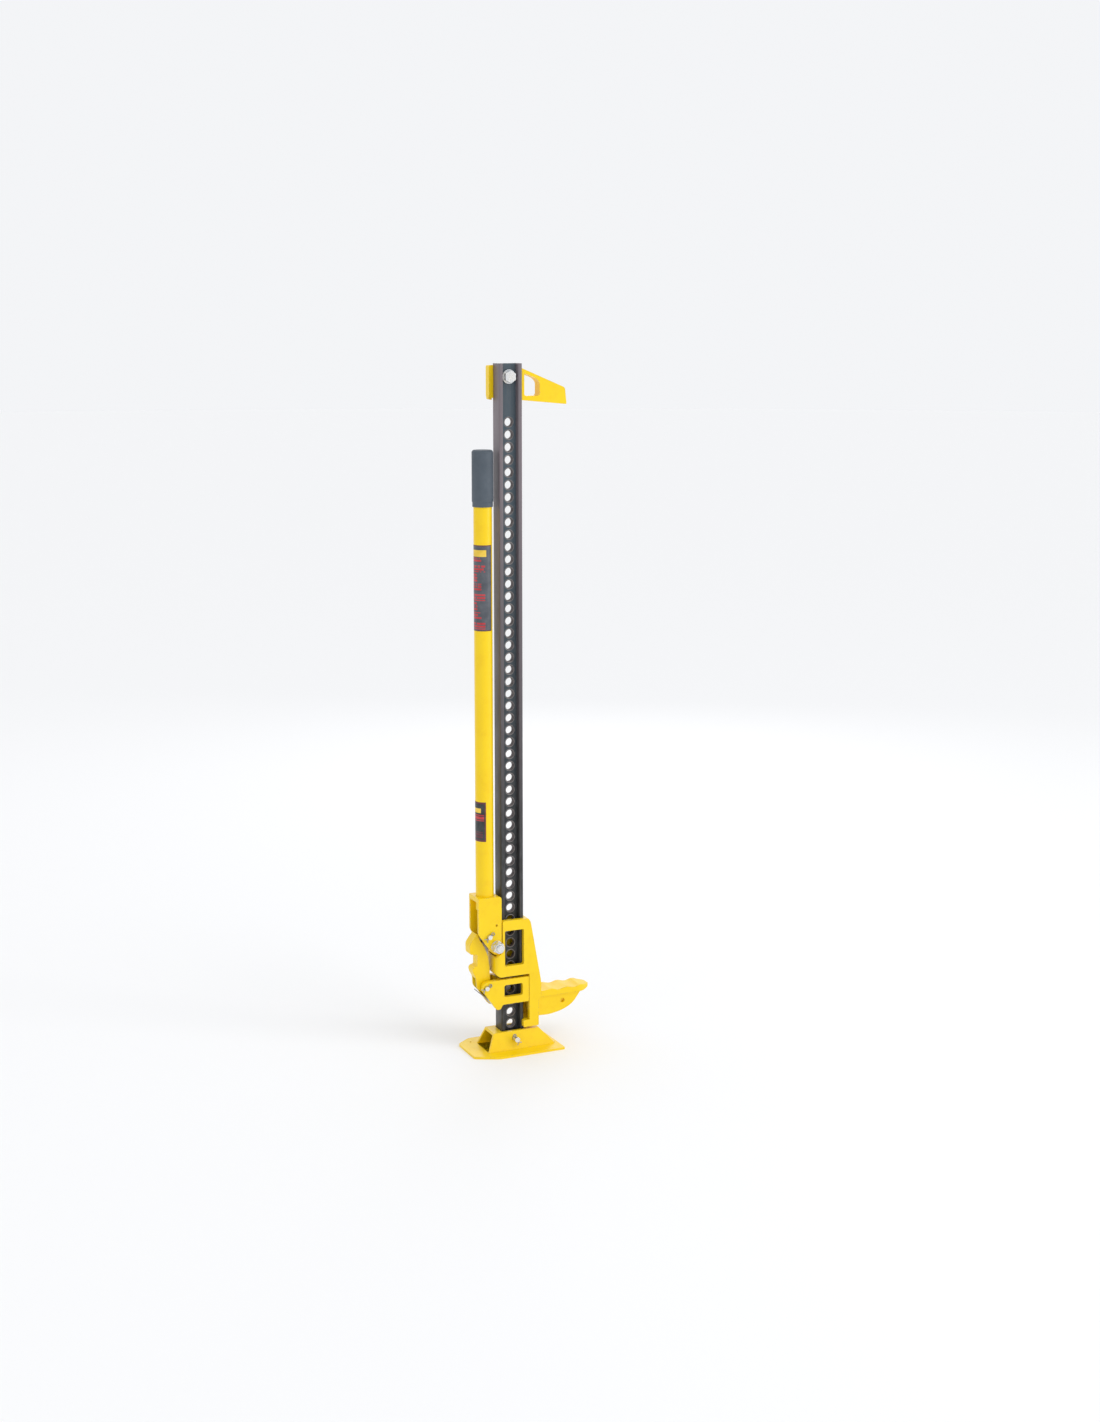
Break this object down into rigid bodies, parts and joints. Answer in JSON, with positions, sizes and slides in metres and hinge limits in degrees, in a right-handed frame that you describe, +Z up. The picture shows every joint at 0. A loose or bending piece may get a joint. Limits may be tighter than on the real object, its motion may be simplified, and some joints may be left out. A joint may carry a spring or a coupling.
{
  "type": "toe jack",
  "caption": "Tall ratchet lifting jack: a perforated steel bar on a base plate, with a climbing toe carriage, a long tube handle and a top clamp.",
  "frame": {"origin": "centre of the standard's foot, on the ground", "axes": "+X from the handle towards the toe, +Y from the pierced front towards the back, along the pin holes, +Z up the standard"},
  "size_m": [0.237, 0.1235, 1.219],
  "materials": {
    "yellow_paint": "semi-gloss powder coat over cast and pressed steel",
    "black_paint": "semi-gloss black paint over rolled steel",
    "zinc_plate": "bright zinc plate",
    "bare_steel": "plain oiled steel",
    "grip_rubber": "matt slate-grey moulded rubber"
  },
  "bodies": {
    "standard": {"standard_bar": "black_paint", "base_plate": "yellow_paint", "base_pin": "zinc_plate", "base_split_pin": "bare_steel", "top_clamp": "yellow_paint", "clamp_bolt": "zinc_plate", "clamp_washer": "zinc_plate", "clamp_nut": "zinc_plate"},
    "large_runner": {"large_runner": "yellow_paint", "shear_bolt": "zinc_plate", "shear_washer": "zinc_plate", "shear_nut": "zinc_plate", "pin_spring_upper": "bare_steel"},
    "upper_pin": {"climbing_pin_upper": "bare_steel", "cross_pin_upper": "zinc_plate"},
    "small_runner": {"small_runner": "yellow_paint", "pivot_pin": "zinc_plate", "pivot_split_pin": "bare_steel", "latch_spring_clip": "bare_steel", "pin_spring_lower": "bare_steel"},
    "lower_pin": {"climbing_pin_lower": "bare_steel", "cross_pin_lower": "zinc_plate"},
    "handle": {"handle_socket": "yellow_paint", "handle_tube": "yellow_paint", "handle_grip": "grip_rubber", "tube_roll_pin": "zinc_plate", "crank_pin": "zinc_plate", "crank_split_pin": "bare_steel"},
    "pitman": {"pitman": "bare_steel"},
    "latch": {"reversing_latch": "yellow_paint"}
  },
  "joints": [
    {"name": "runner_slide", "type": "slide", "parent": "standard", "child": "large_runner", "axis": [0, 0, 1], "range_m": [0, 0.86]},
    {"name": "handle_pivot", "type": "hinge", "parent": "large_runner", "child": "handle", "pos_m": [-0.034, 0, 0.197], "axis": [0, -1, 0], "range_deg": [0, 60]},
    {"name": "small_runner_slide", "type": "slide", "parent": "large_runner", "child": "small_runner", "axis": [0, 0, -1], "range_m": [0, 0.0215]},
    {"name": "pitman_pivot", "type": "hinge", "parent": "handle", "child": "pitman", "pos_m": [-0.04784, 0, 0.21604], "axis": [0, 1, 0], "range_deg": [0, 60]},
    {"name": "latch_pivot", "type": "hinge", "parent": "small_runner", "child": "latch", "pos_m": [-0.054, 0, 0.1225], "axis": [0, -1, 0], "range_deg": [0, 40]},
    {"name": "upper_pin_slide", "type": "slide", "parent": "large_runner", "child": "upper_pin", "axis": [0, -1, 0], "range_m": [0, 0.0125]},
    {"name": "lower_pin_slide", "type": "slide", "parent": "small_runner", "child": "lower_pin", "axis": [0, -1, 0], "range_m": [0, 0.0125]}
  ],
  "couplings": [
    {"joint": "small_runner_slide", "follows": "handle_pivot", "m_per_rad": 0.020531},
    {"joint": "pitman_pivot", "follows": "handle_pivot", "ratio": 0.8805},
    {"joint": "lower_pin_slide", "follows": "upper_pin_slide", "ratio": 1}
  ]
}
